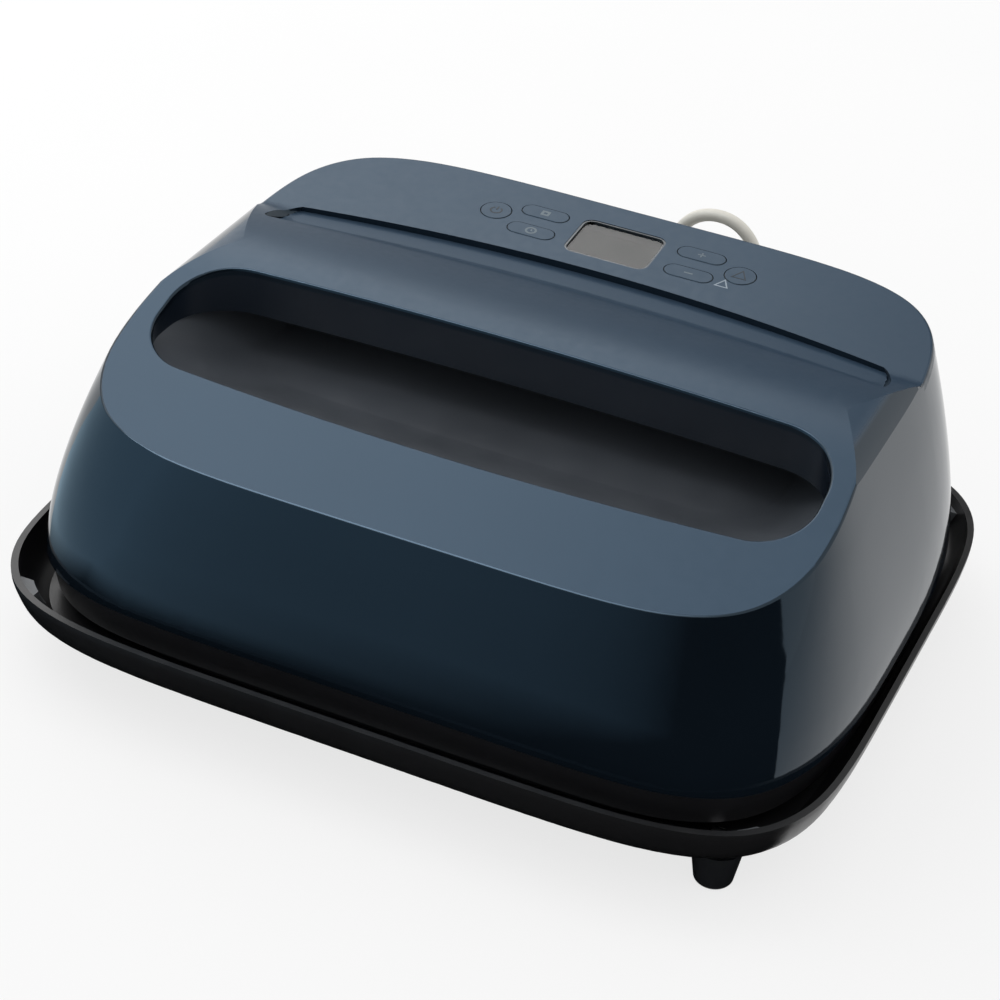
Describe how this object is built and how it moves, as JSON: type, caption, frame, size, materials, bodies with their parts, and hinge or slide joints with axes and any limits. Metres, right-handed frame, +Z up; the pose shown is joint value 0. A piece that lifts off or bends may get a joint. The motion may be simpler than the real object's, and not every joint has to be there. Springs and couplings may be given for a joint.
{
  "type": "handheld heat press",
  "caption": "Handheld heat press with a rounded glossy shell, bridge grip, control deck with display and keys, heated plate and mains cord, resting in a footed safety base.",
  "frame": {"origin": "centre of the footprint, on the surface that the safety base stands on", "axes": "+X to the operator's right, +Y to the rear where the cord leaves, +Z up"},
  "size_m": [0.362, 0.4, 0.1386],
  "materials": {
    "tray_black": "fine satin moulding",
    "leg_black": "satin",
    "pad_rubber": "matt",
    "liner_silicone": "matt",
    "screw_steel": "zinc plated",
    "guide_grey": "satin",
    "shell_navy": "high gloss",
    "deck_satin": "satin",
    "pocket_charcoal": "fine texture",
    "grip_navy": "gloss",
    "key_satin": "satin",
    "bezel_silver": "satin",
    "lens_smoke": "clear smoked",
    "display_dark": "matt",
    "board_green": "solder mask",
    "switch_black": "satin",
    "skirt_black": "satin",
    "plate_coated": "non-stick coating",
    "element_steel": "heat tinted",
    "sheet_steel": "rolled",
    "blanket_fibre": "needled fibre",
    "standoff_ceramic": "glazed",
    "fuse_white": "matt",
    "sensor_brass": "machined",
    "transformer_yellow": "tape wrapped",
    "terminal_grey": "satin",
    "clamp_nylon": "satin",
    "gland_grey": "satin",
    "cord_grey": "satin",
    "strap_black": "woven",
    "plug_grey": "satin",
    "blade_brass": "nickel plated"
  },
  "bodies": {
    "base": {"base_liner": "liner_silicone", "base_tray": "tray_black", "corner_guide_front_left": "guide_grey", "corner_guide_front_right": "guide_grey", "corner_guide_rear_left": "guide_grey", "corner_guide_rear_right": "guide_grey", "foot_pads": "pad_rubber", "leg_front_left": "leg_black", "leg_front_right": "leg_black", "leg_rear_left": "leg_black", "leg_rear_right": "leg_black", "leg_screws": "screw_steel", "rest_studs": "liner_silicone"},
    "press": {"board_screws": "screw_steel", "board_spacers": "switch_black", "buzzer": "switch_black", "chassis": "sheet_steel", "chassis_screws": "screw_steel", "coil_tie": "strap_black", "control_board": "board_green", "control_deck": "deck_satin", "cord": "cord_grey", "cord_clamp": "clamp_nylon", "cord_coil": "cord_grey", "cord_gland": "gland_grey", "cord_inner_end": "cord_grey", "cord_tail": "cord_grey", "display_bezel": "bezel_silver", "display_lens": "lens_smoke", "display_module": "display_dark", "grip_core": "grip_navy", "heat_plate": "plate_coated", "heat_shield": "sheet_steel", "heating_element": "element_steel", "insulation_blanket": "blanket_fibre", "key_switches": "switch_black", "plug_blade_line": "blade_brass", "plug_blade_neutral": "blade_brass", "plug_body": "plug_grey", "plug_ground_pin": "blade_brass", "pocket_tub": "pocket_charcoal", "power_board": "board_green", "relay": "switch_black", "shell": "shell_navy", "shell_screws": "screw_steel", "skirt": "skirt_black", "standoffs": "standoff_ceramic", "temperature_sensor": "sensor_brass", "terminal_block": "terminal_grey", "thermal_fuse": "fuse_white", "transformer": "transformer_yellow"},
    "button_power": {"button_power": "key_satin"},
    "button_temperature": {"button_temperature": "key_satin"},
    "button_timer": {"button_timer": "key_satin"},
    "button_plus": {"button_plus": "key_satin"},
    "button_minus": {"button_minus": "key_satin"},
    "button_go": {"button_go": "key_satin"}
  },
  "joints": [
    {"name": "press_lift", "type": "slide", "parent": "base", "child": "press", "axis": [0, 0, 1], "range_m": [0, 0.1]},
    {"name": "button_power_press", "type": "slide", "parent": "press", "child": "button_power", "axis": [0, 0.0797, -0.9968], "range_m": [0, 0.0005], "stiffness_N_per_m": 3000},
    {"name": "button_temperature_press", "type": "slide", "parent": "press", "child": "button_temperature", "axis": [0, 0.0797, -0.9968], "range_m": [0, 0.0005], "stiffness_N_per_m": 3000},
    {"name": "button_timer_press", "type": "slide", "parent": "press", "child": "button_timer", "axis": [0, 0.0797, -0.9968], "range_m": [0, 0.0005], "stiffness_N_per_m": 3000},
    {"name": "button_plus_press", "type": "slide", "parent": "press", "child": "button_plus", "axis": [0, 0.0797, -0.9968], "range_m": [0, 0.0005], "stiffness_N_per_m": 3000},
    {"name": "button_minus_press", "type": "slide", "parent": "press", "child": "button_minus", "axis": [0, 0.0797, -0.9968], "range_m": [0, 0.0005], "stiffness_N_per_m": 3000},
    {"name": "button_go_press", "type": "slide", "parent": "press", "child": "button_go", "axis": [0, 0.0797, -0.9968], "range_m": [0, 0.0005], "stiffness_N_per_m": 3000}
  ]
}
